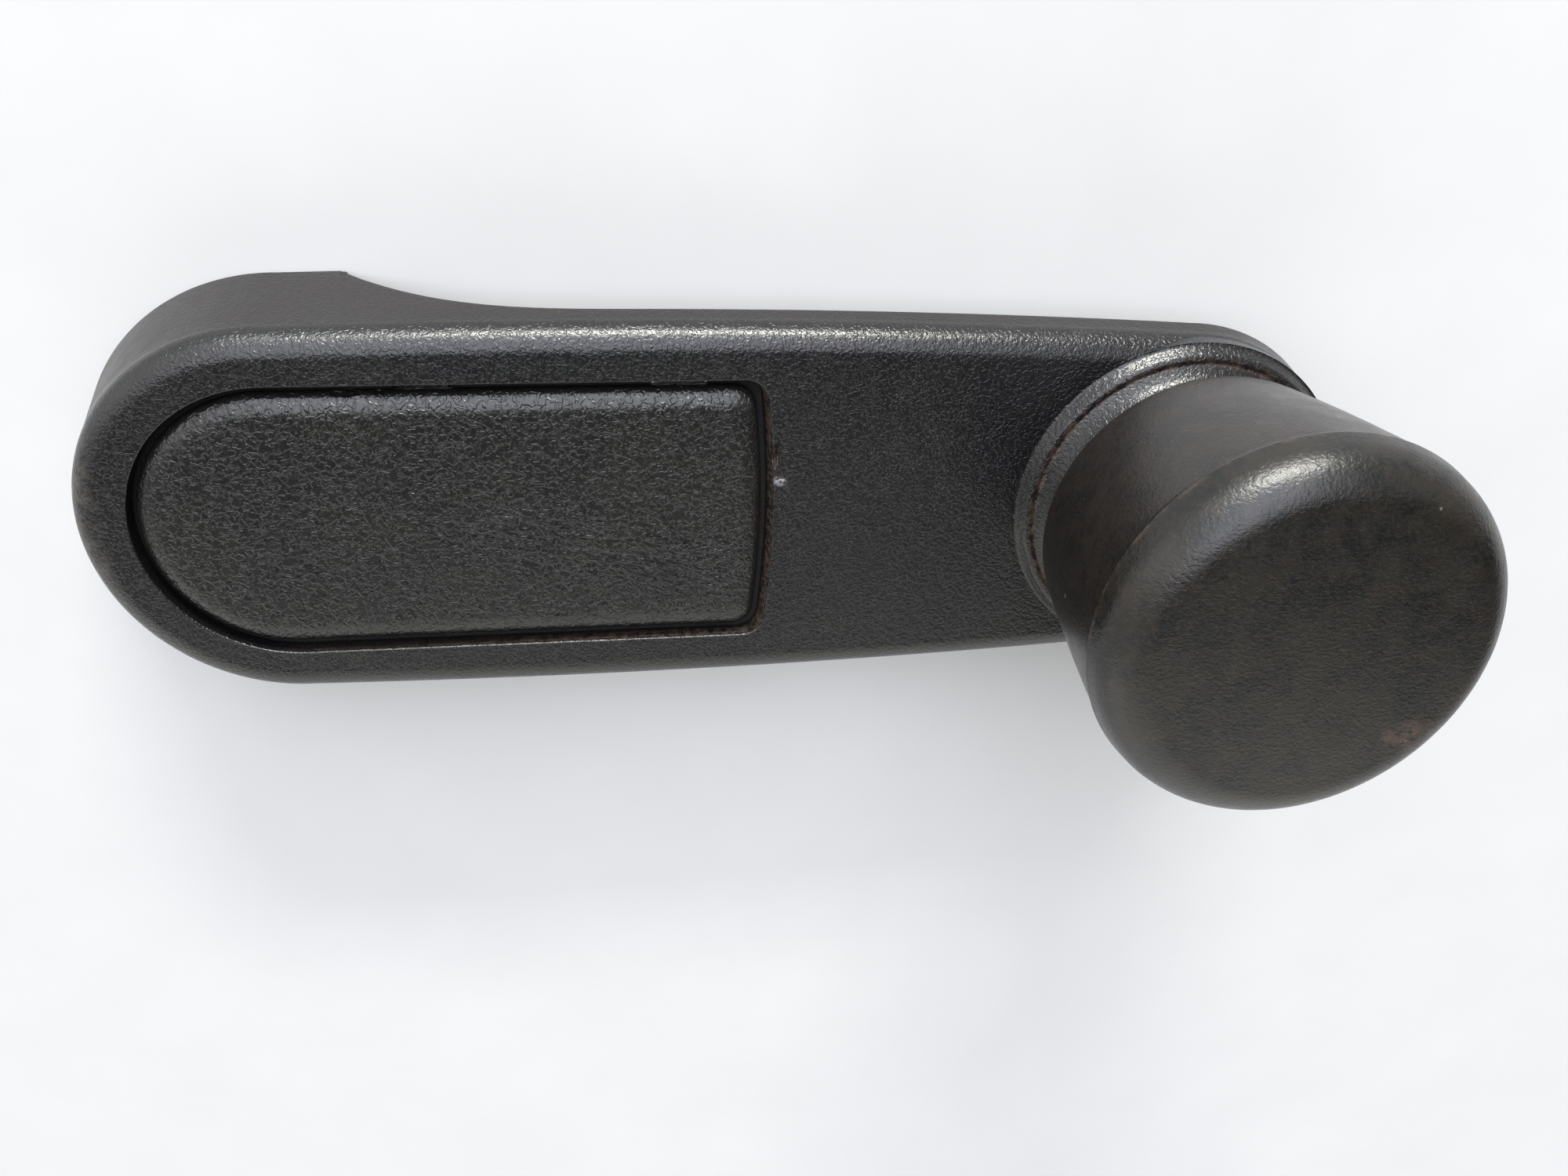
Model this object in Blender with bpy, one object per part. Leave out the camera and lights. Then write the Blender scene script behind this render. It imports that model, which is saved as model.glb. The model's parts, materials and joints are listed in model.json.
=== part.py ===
"""Crank handle of a manual car window winder, as an assembly of its separate pieces.

Frame: metres, the origin is the centre of the spindle socket on the hub's rear face,
+Z points along the spindle away from the door (towards the knob's end) and +X runs
along the arm to the knob's axis. Dimensions below are in millimetres and MM turns
them into metres.
"""

import math

import bmesh
import bpy
from mathutils import Matrix, Vector

MM = 0.001
GAP = 0.25  # assembly gap between pieces that touch

# ---- arm moulding -------------------------------------------------------------
REACH = 82.0  # spindle axis to knob axis
HUB_R = 17.45  # plan radius of the hub end where the front edge's rounding starts
END_R = 16.0  # plan radius of the knob end there
BOW = 0.87  # the long sides bow outwards by this at mid length
FRONT_Z = 12.06  # flat front face
EDGE_R = 2.5  # rounding of the front edge
DRAFT = 1.81  # the walls spread by this from the rounding to the rear plane
BACK_Z = 7.69  # rear face of the arm beyond the hub
SWEEP_X0 = 5.64  # the hub's rear rim ends here and the wall sweeps up to the arm
SWEEP_LEN = 26.4
SWEEP_POWER = 3.1
WALL = 2.2  # hub skirt thickness
CORE_Z = 6.9  # ceiling of the hollow behind the hub
HUB_BOSS_R = 10.7
HUB_BOSS_Z = 0.2

# ---- front recess and its cover ----------------------------------------------
RECESS_R = 12.85  # half width, and the radius of its round end on the spindle axis
RECESS_X1 = 42.75  # outer end, at its corners
RECESS_BOW = 0.55  # how far the middle of that end stands out
RECESS_SHIFT = 0.3  # centre of its round end, past the spindle axis
RECESS_CORNER = 2.2
RECESS_Z = 10.0  # recess floor
COVER_GAP = 0.77
COVER_END_GAP = 1.0
COVER_TOP_Z = 12.14
COVER_EDGE_W, COVER_EDGE_H = 2.3, 1.42
HOOK_X = (13.0, 35.0)
HOOK_W = 4.4

# ---- steel core, splined hub, screw ------------------------------------------
PLATE_R0, PLATE_R1 = 11.0, 9.5
PLATE_Z0, PLATE_Z1 = 7.9, 8.9
WINDOW_X0 = 20.0
STAKE_X = (30.0, 58.0)
INSERT_R = 8.0
INSERT_BAND_R = 9.0
SPIGOT_R = 7.2
SPIGOT_TOP = 9.6
SPLINE_R, SPLINE_ROOT, SPLINE_TEETH = 4.75, 5.2, 30
SOCKET_TOP = 5.0
SEAT_Z = 6.6
COUNTERBORE_R = 6.0
SCREW_HOLE_R = 3.2
SCREW_R, SCREW_PITCH = 2.95, 1.0
SCREW_TIP = 0.7
SCREW_HEAD_R, SCREW_HEAD_Z0, SCREW_HEAD_Z1 = 5.0, 7.85, 10.0

# ---- knob boss, pin and knob --------------------------------------------------
BOSS_R = 15.46
BOSS_STEP_R = 14.2
BOSS_TOP_R = 11.85
BOSS_TOP_Z = 16.95
BOSS_SEAT_R, BOSS_SEAT_Z = 10.5, 16.15
PIN_HOLE_R = 3.25
PIN_SHANK_R, PIN_JOURNAL_R, PIN_HEAD_R = 3.0, 4.0, 6.2
PIN_JOURNAL_Z0, PIN_HEAD_Z0, PIN_HEAD_Z1 = 16.4, 27.3, 28.9
BUSH_BORE_R = 4.08
BUSH_R, BUSH_FLANGE_R = 7.0, 11.7
BUSH_Z0, BUSH_Z1 = 17.6, 26.2
KNOB_Z0 = 17.2
KNOB_BASE_R = 14.6
KNOB_LIP_R, KNOB_LIP_Z = 16.75, 36.06
KNOB_TOP_Z = 40.5
KNOB_TUBE_R, KNOB_TUBE_WALL = 7.25, 1.7


# ---------------------------------------------------------------- helpers


def clear_scene():
    for obj in list(bpy.data.objects):
        bpy.data.objects.remove(obj, do_unlink=True)


def material(name, color, roughness, metallic=0.0):
    mat = bpy.data.materials.new(name)
    mat.use_nodes = True
    shader = mat.node_tree.nodes["Principled BSDF"]
    shader.inputs["Base Color"].default_value = (*color, 1.0)
    shader.inputs["Roughness"].default_value = roughness
    shader.inputs["Metallic"].default_value = metallic
    mat.diffuse_color = (*color, 1.0)
    return mat


def object_from(name, bm, mat=None, location=(0, 0, 0)):
    """Turns a bmesh in millimetres into an object in metres."""
    bmesh.ops.scale(bm, vec=(MM, MM, MM), verts=bm.verts)
    bmesh.ops.recalc_face_normals(bm, faces=bm.faces)
    mesh = bpy.data.meshes.new(name)
    bm.to_mesh(mesh)
    bm.free()
    if mesh_volume(mesh) < 0:
        mesh.flip_normals()
    obj = bpy.data.objects.new(name, mesh)
    obj.location = Vector(location) * MM
    bpy.context.scene.collection.objects.link(obj)
    if mat:
        mesh.materials.append(mat)
    bpy.context.view_layer.update()
    return obj


def mesh_volume(mesh):
    mesh.calc_loop_triangles()
    total = 0.0
    for tri in mesh.loop_triangles:
        a, b, c = (mesh.vertices[i].co for i in tri.vertices)
        total += a.dot(b.cross(c))
    return total


def ring_loft(rings):
    """A closed body through rings of equally many points, capped at both ends."""
    bm = bmesh.new()
    rows = [[bm.verts.new(p) for p in ring] for ring in rings]
    count = len(rows[0])
    for low, high in zip(rows, rows[1:]):
        for i in range(count):
            j = (i + 1) % count
            bm.faces.new((low[i], low[j], high[j], high[i]))
    bm.faces.new(list(reversed(rows[0])))
    bm.faces.new(rows[-1])
    return bm


def prism(points, z0, z1):
    return ring_loft([[(x, y, z) for x, y in points] for z in (z0, z1)])


def turned(profile, steps, center=(0.0, 0.0)):
    """Spins a closed or axis-to-axis (r, z) profile about the vertical at center."""
    bm = bmesh.new()
    on_axis = profile[0][0] < 1e-9 and profile[-1][0] < 1e-9
    verts = [bm.verts.new((r, 0.0, z)) for r, z in profile]
    edges = [bm.edges.new(pair) for pair in zip(verts, verts[1:])]
    if not on_axis:
        edges.append(bm.edges.new((verts[-1], verts[0])))
    bmesh.ops.spin(
        bm,
        geom=verts + edges,
        cent=(0, 0, 0),
        axis=(0, 0, 1),
        angle=2 * math.pi,
        steps=steps,
        use_merge=True,
    )
    bmesh.ops.remove_doubles(bm, verts=bm.verts, dist=1e-4)
    bmesh.ops.translate(bm, vec=(center[0], center[1], 0.0), verts=bm.verts)
    return bm


def box(x0, x1, y0, y1, z0, z1):
    bm = bmesh.new()
    bmesh.ops.create_cube(bm, size=1.0)
    bmesh.ops.scale(bm, vec=(x1 - x0, y1 - y0, z1 - z0), verts=bm.verts)
    bmesh.ops.translate(
        bm, vec=((x0 + x1) / 2, (y0 + y1) / 2, (z0 + z1) / 2), verts=bm.verts
    )
    return bm


def combine(obj, other, operation="DIFFERENCE"):
    """Applies an exact Boolean and removes the other object."""
    modifier = obj.modifiers.new(operation.lower(), "BOOLEAN")
    modifier.operation = operation
    modifier.solver = "EXACT"
    modifier.object = other
    bpy.context.view_layer.update()
    graph = bpy.context.evaluated_depsgraph_get()
    mesh = bpy.data.meshes.new_from_object(obj.evaluated_get(graph))
    obj.modifiers.clear()
    old, name = obj.data, obj.data.name
    obj.data = mesh
    bpy.data.meshes.remove(old)
    mesh.name = name
    bpy.data.objects.remove(other, do_unlink=True)
    return obj


def cut(obj, bm):
    return combine(obj, object_from("cutter", bm))


def add(obj, bm):
    return combine(obj, object_from("addition", bm), "UNION")


def smooth(obj, angle=32.0):
    obj.data.shade_smooth()
    obj.data.set_sharp_from_angle(angle=math.radians(angle))


def arc(cx, cy, r, a0, a1, steps):
    """Points on an arc, angles in degrees, both ends included."""
    return [
        (
            cx + r * math.cos(math.radians(a0 + (a1 - a0) * i / steps)),
            cy + r * math.sin(math.radians(a0 + (a1 - a0) * i / steps)),
        )
        for i in range(steps + 1)
    ]


# ---------------------------------------------------------------- outlines


def arm_outline(offset, arc_steps=26, side_steps=8):
    """Plan outline of the arm, grown by offset: two round ends and bowed sides."""
    r1, r2 = HUB_R + offset, END_R + offset
    lean = math.degrees(math.acos((HUB_R - END_R) / REACH))
    hub = arc(0, 0, r1, lean, 360 - lean, arc_steps)
    end = arc(REACH, 0, r2, -lean, lean, arc_steps)
    nx, ny = math.cos(math.radians(lean)), math.sin(math.radians(lean))

    def side(p, q, sign):
        points = []
        for i in range(1, side_steps):
            s = i / side_steps
            swell = BOW * 4 * s * (1 - s)
            points.append(
                (
                    p[0] + (q[0] - p[0]) * s + nx * swell,
                    p[1] + (q[1] - p[1]) * s + sign * ny * swell,
                )
            )
        return points

    return hub + side(hub[-1], end[0], -1) + end + side(end[-1], hub[0], 1)


def recess_outline(inset, end_inset, corner, shift=0.0):
    """The recess's D shape: round at the hub, slightly bowed at the far end."""
    r = RECESS_R - inset
    x1 = RECESS_X1 - end_inset
    points = arc(shift, 0, r, 90, 270, 20)
    points += arc(x1 - corner, -r + corner, corner, -90, 0, 5)
    points += [(x1 + RECESS_BOW * (1 - (t / 4) ** 2), (r - corner) * t / 4) for t in range(-3, 4)]
    points += arc(x1 - corner, r - corner, corner, 0, 90, 5)
    return points


def plate_outline(offset, x_min=None):
    """Tapered strip with round ends, optionally cut square at x_min."""
    r0, r1 = PLATE_R0 + offset, PLATE_R1 + offset
    lean = math.degrees(math.acos((PLATE_R0 - PLATE_R1) / REACH))
    end = arc(REACH, 0, r1, -lean, lean, 16)
    if x_min is None:
        return arc(0, 0, r0, lean, 360 - lean, 20) + end
    half = r0 - (r0 - r1) * x_min / REACH
    return [(x_min, half), (x_min, -half)] + end


def sweep_z(x):
    """Height of the hub's rear edge as it sweeps up to the back of the arm."""
    u = min(max((x - SWEEP_X0) / SWEEP_LEN, 0.0), 1.0)
    return BACK_Z * (1 - (1 - u) ** SWEEP_POWER)


def sweep_cutter():
    points = [(SWEEP_X0, -5.0)]
    steps = 14
    for i in range(steps + 1):
        x = SWEEP_X0 + SWEEP_LEN * (i / steps) ** 1.4
        points.append((x, sweep_z(x)))
    points += [(115.0, BACK_Z), (115.0, -5.0)]
    return ring_loft([[(x, y, z) for x, z in points] for y in (-40.0, 40.0)])


# ---------------------------------------------------------------- pieces


def make_crank_arm(mat):
    rings = [
        [(x, y, z) for x, y in arm_outline(offset)]
        for offset, z in [(DRAFT, 0.0), (0.0, FRONT_Z - EDGE_R)]
        + [
            (
                -EDGE_R * (1 - math.cos(math.radians(a))),
                FRONT_Z - EDGE_R + EDGE_R * math.sin(math.radians(a)),
            )
            for a in (22.5, 45, 67.5, 90)
        ]
    ]
    arm = object_from("crank_arm", ring_loft(rings), mat)
    cut(arm, sweep_cutter())

    # Hollow behind the hub: a skirt of even thickness that follows the walls' draft.
    def hollow(z):
        grow = DRAFT * (1 - z / (FRONT_Z - EDGE_R)) - WALL
        r = HUB_R + grow
        x1 = 17.5
        return (
            [(x, y, z) for x, y in arc(0, 0, r, 88, 272, 26)]
            + [(x, y, z) for x, y in arc(x1 - 4, -r + 4.2, 4, -88, 0, 5)]
            + [(x, y, z) for x, y in arc(x1 - 4, r - 4.2, 4, 0, 88, 5)]
        )

    cut(arm, ring_loft([hollow(-1.0), hollow(CORE_Z)]))

    # Boss round the splined hub, and the ribs that tie it to the skirt.
    core = object_from(
        "hub_core", turned([(0, HUB_BOSS_Z), (HUB_BOSS_R, HUB_BOSS_Z), (HUB_BOSS_R, 8.0), (0, 8.0)], 36)
    )
    for angle, low in ((60, 3.0), (105, 1.2), (142.5, 1.2), (180, 1.2), (217.5, 1.2), (255, 1.2), (300, 3.0)):
        rib = box(9.5, 16.4, -0.7, 0.7, low, 7.4)
        bmesh.ops.rotate(
            rib,
            cent=(0, 0, 0),
            matrix=Matrix.Rotation(math.radians(angle), 3, "Z"),
            verts=rib.verts,
        )
        add(core, rib)
    combine(arm, core, "UNION")

    # Stepped boss that carries the knob: a low rounded lip, then the taller seat.
    boss = [
        (0.0, FRONT_Z - 2.0),
        (BOSS_R + 0.3, FRONT_Z - 2.0),
        (BOSS_R + 0.3, FRONT_Z),
        (BOSS_R - 0.05, FRONT_Z + 0.3),
        (BOSS_R - 0.62, FRONT_Z + 1.0),
        (BOSS_R - 0.95, FRONT_Z + 1.08),
        (BOSS_STEP_R + 0.02, FRONT_Z + 0.9),
        (BOSS_STEP_R - 0.45, FRONT_Z + 1.12),
        (BOSS_STEP_R - 1.3, FRONT_Z + 1.98),
        (BOSS_STEP_R - 1.95, FRONT_Z + 3.2),
        (BOSS_TOP_R + 0.05, BOSS_TOP_Z - 0.5),
        (BOSS_TOP_R - 0.1, BOSS_TOP_Z - 0.12),
        (BOSS_TOP_R - 0.25, BOSS_TOP_Z),
        (BOSS_SEAT_R, BOSS_TOP_Z),
        (BOSS_SEAT_R, BOSS_SEAT_Z),
        (0.0, BOSS_SEAT_Z),
    ]
    add(arm, turned(boss, 56, (REACH, 0)))
    cut(arm, turned([(0, 0), (PIN_HOLE_R, 0), (PIN_HOLE_R, 20), (0, 20)], 24, (REACH, 0)))

    # Front recess, with slots for the cover's hooks.
    cut(arm, prism(recess_outline(0, 0, RECESS_CORNER, RECESS_SHIFT), RECESS_Z, FRONT_Z + 3))
    for x in HOOK_X:
        for side in (1, -1):
            half = HOOK_W / 2 + 0.3
            y = sorted((side * 11.25, side * 12.6))
            cut(arm, box(x - half, x + half, *y, -1.0, RECESS_Z + 0.5))
            y = sorted((side * 11.25, side * 13.5))
            cut(arm, box(x - half, x + half, *y, -1.0, 8.75))

    # Cavity of the splined hub.
    cavity = [
        (0, -1.0),
        (INSERT_R + GAP, -1.0),
        (INSERT_R + GAP, 2.15),
        (INSERT_BAND_R + GAP, 2.15),
        (INSERT_BAND_R + GAP, 4.85),
        (INSERT_R + GAP, 4.85),
        (INSERT_R + GAP, PLATE_Z0 + 0.1),
        (SPIGOT_R + GAP, PLATE_Z0 + 0.1),
        (SPIGOT_R + GAP, RECESS_Z + 0.5),
        (0, RECESS_Z + 0.5),
    ]
    cut(arm, turned(cavity, 40))

    # Slot of the steel core: closed in behind the hub, open to the back along the arm.
    cut(arm, prism(plate_outline(GAP), PLATE_Z0 - GAP, PLATE_Z1 + GAP))
    cut(arm, prism(plate_outline(GAP, WINDOW_X0), 2.0, PLATE_Z0 + 0.1))

    # Stakes formed over the core plate.
    for x in STAKE_X:
        stake = [
            (0, 6.95),
            (1.3, 7.0),
            (2.1, 7.25),
            (2.3, PLATE_Z0 - GAP),
            (1.15, PLATE_Z0 - GAP),
            (1.15, PLATE_Z1 + 0.6),
            (0, PLATE_Z1 + 0.6),
        ]
        add(arm, turned(stake, 16, (x, 0)))
    smooth(arm)
    return arm


def make_cover(mat):
    inset = COVER_GAP
    low = RECESS_Z + 0.3
    shoulder = COVER_TOP_Z - COVER_EDGE_H
    rings = [(inset, low), (inset - 0.02, shoulder)]
    for a in (22.5, 45, 67.5, 90):
        rings.append(
            (
                inset + COVER_EDGE_W * (1 - math.cos(math.radians(a))),
                shoulder + COVER_EDGE_H * math.sin(math.radians(a)),
            )
        )
    lofted = [
        [
            (x, y, z)
            for x, y in recess_outline(
                d, COVER_END_GAP + d - inset, max(RECESS_CORNER - 0.3 - (d - inset) * 0.6, 0.6)
            )
        ]
        for d, z in rings
    ]
    cover = object_from("cover_cap", ring_loft(lofted), mat)
    for x in HOOK_X:
        for side in (1, -1):
            # A leg with a small barb that faces the ledge under the recess floor.
            leg = [
                (11.45, low + 0.3),
                (11.45, 7.95),
                (12.15, 7.95),
                (12.48, 8.35),
                (12.48, 8.5),
                (12.15, 8.6),
                (12.15, low + 0.3),
            ]
            points = [(side * y, z) for y, z in leg]
            bm = ring_loft(
                [[(x + dx, y, z) for y, z in points] for dx in (-HOOK_W / 2, HOOK_W / 2)]
            )
            add(cover, bm)
    smooth(cover)
    return cover


def make_spline_insert(mat):
    profile = [
        (SPLINE_R, 0.3),
        (INSERT_R, 0.3),
        (INSERT_R, 2.4),
        (INSERT_BAND_R, 2.4),
        (INSERT_BAND_R, 4.6),
        (INSERT_R, 4.6),
        (INSERT_R, PLATE_Z0 - GAP),
        (SPIGOT_R, PLATE_Z0 - GAP),
        (SPIGOT_R, SPIGOT_TOP - 0.3),
        (SPIGOT_R - 0.3, SPIGOT_TOP),
        (COUNTERBORE_R, SPIGOT_TOP),
        (COUNTERBORE_R, SEAT_Z),
        (SCREW_HOLE_R, SEAT_Z),
        (SCREW_HOLE_R, SOCKET_TOP),
        (SPLINE_R, SOCKET_TOP),
    ]
    insert = object_from("spline_insert", turned(profile, 40), mat)
    # Serrations of the spindle socket.
    points = []
    for i in range(SPLINE_TEETH):
        base = 360.0 * i / SPLINE_TEETH
        step = 360.0 / SPLINE_TEETH
        for share, r in ((0.0, SPLINE_ROOT), (0.16, SPLINE_ROOT), (0.5, SPLINE_R - 0.15), (0.66, SPLINE_R - 0.15)):
            a = math.radians(base + step * share)
            points.append((r * math.cos(a), r * math.sin(a)))
    cut(insert, prism(points, -0.5, SOCKET_TOP))
    # Flats round the anchoring band keep the hub from turning in the moulding.
    for i in range(8):
        flat = box(INSERT_BAND_R * math.cos(math.radians(11.0)), INSERT_BAND_R + 1, -1.7, 1.7, 2.0, 5.0)
        bmesh.ops.rotate(
            flat,
            cent=(0, 0, 0),
            matrix=Matrix.Rotation(math.radians(45 * i), 3, "Z"),
            verts=flat.verts,
        )
        cut(insert, flat)
    smooth(insert)
    return insert


def make_core_plate(mat):
    plate = object_from("core_plate", prism(plate_outline(0.0), PLATE_Z0, PLATE_Z1), mat)
    holes = [((0, 0), SPIGOT_R + GAP, 36), ((REACH, 0), PIN_SHANK_R + GAP, 20)]
    holes += [((x, 0), 1.15 + GAP, 14) for x in STAKE_X]
    for center, r, steps in holes:
        cut(plate, turned([(0, 7), (r, 7), (r, 10), (0, 10)], steps, center))
    # One long lightening slot with round ends.
    slot = arc(38.5, 0, 3.4, 90, 270, 10) + arc(50.5, 0, 3.4, -90, 90, 10)
    cut(plate, prism(slot, 7, 10))
    smooth(plate)
    return plate


def make_screw(mat):
    profile = [(0, SCREW_TIP), (SCREW_R - 0.75, SCREW_TIP)]
    z = SCREW_TIP + 0.4
    while z < SCREW_HEAD_Z0 - 1.4:
        profile += [(SCREW_R - 0.6, z), (SCREW_R, z + 0.42), (SCREW_R, z + 0.55)]
        z += SCREW_PITCH
    profile += [
        (SCREW_R - 0.35, z + 0.1),
        (SCREW_R - 0.35, SCREW_HEAD_Z0),
        (SCREW_HEAD_R, SCREW_HEAD_Z0),
        (SCREW_HEAD_R, SCREW_HEAD_Z1 - 0.8),
        (SCREW_HEAD_R - 0.25, SCREW_HEAD_Z1 - 0.3),
        (SCREW_HEAD_R - 0.9, SCREW_HEAD_Z1),
        (0, SCREW_HEAD_Z1),
    ]
    screw = object_from("retaining_screw", turned(profile, 24), mat)
    # Cross recess, narrowing downwards.
    for turn in (0, 90):
        bm = box(-2.6, 2.6, -0.62, 0.62, SCREW_HEAD_Z1 - 1.5, SCREW_HEAD_Z1 + 0.4)
        for vert in bm.verts:
            if vert.co.z < SCREW_HEAD_Z1 - 1:
                vert.co.x *= 0.45
                vert.co.y *= 0.7
        bmesh.ops.rotate(
            bm, cent=(0, 0, 0), matrix=Matrix.Rotation(math.radians(turn), 3, "Z"), verts=bm.verts
        )
        cut(screw, bm)
    smooth(screw)
    return screw


def make_lock_washer(mat):
    """Toothed lock washer under the screw's head: a ring whose outer teeth are bent up."""
    z0, z1 = SEAT_Z + GAP, SEAT_Z + GAP + 0.45
    profile = [(SCREW_R + 0.3, z0), (4.3, z0), (4.3, z1), (SCREW_R + 0.3, z1)]
    washer = object_from("lock_washer", turned(profile, 40), mat)
    for i in range(10):
        tooth = box(4.1, 5.6, -0.62, 0.62, z0, z1)
        for vert in tooth.verts:
            if vert.co.x > 5:
                vert.co.z += 0.25
                vert.co.y *= 0.85
        bmesh.ops.rotate(
            tooth,
            cent=(0, 0, 0),
            matrix=Matrix.Rotation(math.radians(36 * i), 3, "Z"),
            verts=tooth.verts,
        )
        add(washer, tooth)
    smooth(washer)
    return washer


def make_knob_pin(mat):
    """Headed pin: journal for the knob, shank through the arm, tail peened over the core."""
    profile = [
        (0, 6.35),
        (2.2, 6.45),
        (3.7, 6.8),
        (4.5, 7.3),
        (4.6, PLATE_Z0 - GAP),
        (PIN_SHANK_R, PLATE_Z0 - GAP),
        (PIN_SHANK_R, PIN_JOURNAL_Z0),
        (PIN_JOURNAL_R, PIN_JOURNAL_Z0),
        (PIN_JOURNAL_R, PIN_HEAD_Z0),
        (PIN_HEAD_R, PIN_HEAD_Z0),
        (PIN_HEAD_R, PIN_HEAD_Z1 - 0.4),
        (PIN_HEAD_R - 0.4, PIN_HEAD_Z1),
        (0, PIN_HEAD_Z1),
    ]
    pin = object_from("knob_pin", turned(profile, 32), mat, (REACH, 0, 0))
    smooth(pin)
    return pin


def make_thrust_washer(mat):
    z0 = BOSS_SEAT_Z + 0.2
    profile = [(PIN_JOURNAL_R + 0.3, z0), (10.2, z0), (10.2, z0 + 1.0), (PIN_JOURNAL_R + 0.3, z0 + 1.0)]
    washer = object_from("thrust_washer", turned(profile, 40), mat, (REACH, 0, 0))
    smooth(washer)
    return washer


def make_wave_washer(mat):
    """Three-wave spring washer between the bush and the pin's head."""
    bm = bmesh.new()
    steps, waves = 48, 3
    mid = (BUSH_Z1 + PIN_HEAD_Z0) / 2
    rows = []
    for r, dz in ((4.35, -0.14), (6.6, -0.14), (6.6, 0.14), (4.35, 0.14)):
        row = []
        for i in range(steps):
            a = 2 * math.pi * i / steps
            z = mid + 0.22 * math.sin(waves * a) + dz
            row.append(bm.verts.new((r * math.cos(a), r * math.sin(a), z)))
        rows.append(row)
    for low, high in zip(rows, rows[1:] + rows[:1]):
        for i in range(steps):
            j = (i + 1) % steps
            bm.faces.new((low[i], low[j], high[j], high[i]))
    washer = object_from("wave_washer", bm, mat, (REACH, 0, 0))
    smooth(washer)
    return washer


def make_knob_bush(mat):
    profile = [
        (BUSH_BORE_R, BUSH_Z0),
        (BUSH_FLANGE_R, BUSH_Z0),
        (BUSH_FLANGE_R, BUSH_Z0 + 1.3),
        (BUSH_R, BUSH_Z0 + 1.3),
        (BUSH_R, BUSH_Z1 - 0.6),
        (BUSH_R - 0.6, BUSH_Z1),
        (BUSH_BORE_R, BUSH_Z1),
    ]
    bush = object_from("knob_bush", turned(profile, 36), mat, (REACH, 0, 0))
    smooth(bush)
    return bush


def knob_radius(z):
    """Outer flank of the knob: flares from the base, nearly straight below the lip."""
    t = (z - KNOB_Z0) / (KNOB_LIP_Z - 1.2 - KNOB_Z0)
    return KNOB_BASE_R + 2.06 * (1.28 * t - 0.28 * t * t)


def make_knob_grip(mat):
    outer = [(KNOB_BASE_R - 0.35, KNOB_Z0), (KNOB_BASE_R - 0.05, KNOB_Z0 + 0.25)]
    steps = 8
    for i in range(1, steps + 1):
        z = KNOB_Z0 + (KNOB_LIP_Z - 1.2 - KNOB_Z0) * i / steps
        outer.append((knob_radius(z), z))
    outer += [(KNOB_LIP_R - 0.12, KNOB_LIP_Z - 0.55), (KNOB_LIP_R, KNOB_LIP_Z)]
    rise, turn_in = KNOB_TOP_Z - 0.35 - KNOB_LIP_Z, 4.1
    for a in (12, 25, 38, 51, 64, 77, 90):
        outer.append(
            (
                KNOB_LIP_R - turn_in * (1 - math.cos(math.radians(a))),
                KNOB_LIP_Z + rise * math.sin(math.radians(a)),
            )
        )
    outer += [(7.0, KNOB_TOP_Z - 0.08), (0.0, KNOB_TOP_Z)]
    tube = KNOB_TUBE_R + KNOB_TUBE_WALL
    inner = [
        (0.0, 32.0),
        (KNOB_TUBE_R, 32.0),
        (KNOB_TUBE_R, BUSH_Z0 + 1.6),
        (tube, BUSH_Z0 + 1.6),
        (tube, 35.6),
        (12.6, 35.6),
        (13.6, 34.4),
        (12.2, BUSH_Z0 + 1.6),
        (12.1, KNOB_Z0),
    ]
    knob = object_from("knob_grip", turned(inner + outer, 48), mat, (REACH, 0, 0))
    # Webs between the central tube and the outer wall.
    webs = None
    for i in range(6):
        web = box(tube - 0.4, 12.6, -0.7, 0.7, BUSH_Z0 + 2.2, 36.0)
        for vert in web.verts:
            if vert.co.x > 10 and vert.co.z > 30:
                vert.co.x = 14.0
        bmesh.ops.rotate(
            web,
            cent=(0, 0, 0),
            matrix=Matrix.Rotation(math.radians(60 * i + 30), 3, "Z"),
            verts=web.verts,
        )
        bmesh.ops.translate(web, vec=(REACH, 0, 0), verts=web.verts)
        add(knob, web)
    smooth(knob)
    return knob


def build():
    clear_scene()
    scene = bpy.context.scene
    scene.unit_settings.system = "METRIC"

    arm_plastic = material("arm_plastic", (0.022, 0.022, 0.024), 0.42)
    cover_plastic = material("cover_plastic", (0.026, 0.026, 0.027), 0.46)
    knob_plastic = material("knob_plastic", (0.03, 0.028, 0.027), 0.5)
    nylon = material("bush_nylon", (0.72, 0.7, 0.62), 0.45)
    steel = material("plated_steel", (0.56, 0.55, 0.52), 0.32, 1.0)
    sintered = material("sintered_steel", (0.36, 0.35, 0.34), 0.5, 1.0)
    spring = material("spring_steel", (0.3, 0.3, 0.31), 0.3, 1.0)

    arm = make_crank_arm(arm_plastic)
    cover = make_cover(cover_plastic)
    insert = make_spline_insert(sintered)
    plate = make_core_plate(steel)
    screw = make_screw(steel)
    lock = make_lock_washer(spring)
    pin = make_knob_pin(steel)
    thrust = make_thrust_washer(nylon)
    wave = make_wave_washer(spring)
    bush = make_knob_bush(nylon)
    knob = make_knob_grip(knob_plastic)

    # Everything fixed hangs on the arm; the knob and its bush turn on the pin's axis.
    axis = bpy.data.objects.new("knob_axis", None)
    axis.location = Vector((REACH, 0, 0)) * MM
    axis.empty_display_size = 0.01
    scene.collection.objects.link(axis)
    bpy.context.view_layer.update()

    def hang(child, parent):
        child.parent = parent
        child.matrix_parent_inverse = parent.matrix_world.inverted()

    for child in (insert, plate, screw, lock, pin, thrust, wave, cover, axis):
        hang(child, arm)
    bpy.context.view_layer.update()
    for child in (knob, bush):
        hang(child, axis)
    bpy.context.view_layer.update()


build()
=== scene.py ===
"""Looks of the window winder handle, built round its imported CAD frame. Metres, the CAD's frame."""

import json
import math

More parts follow.
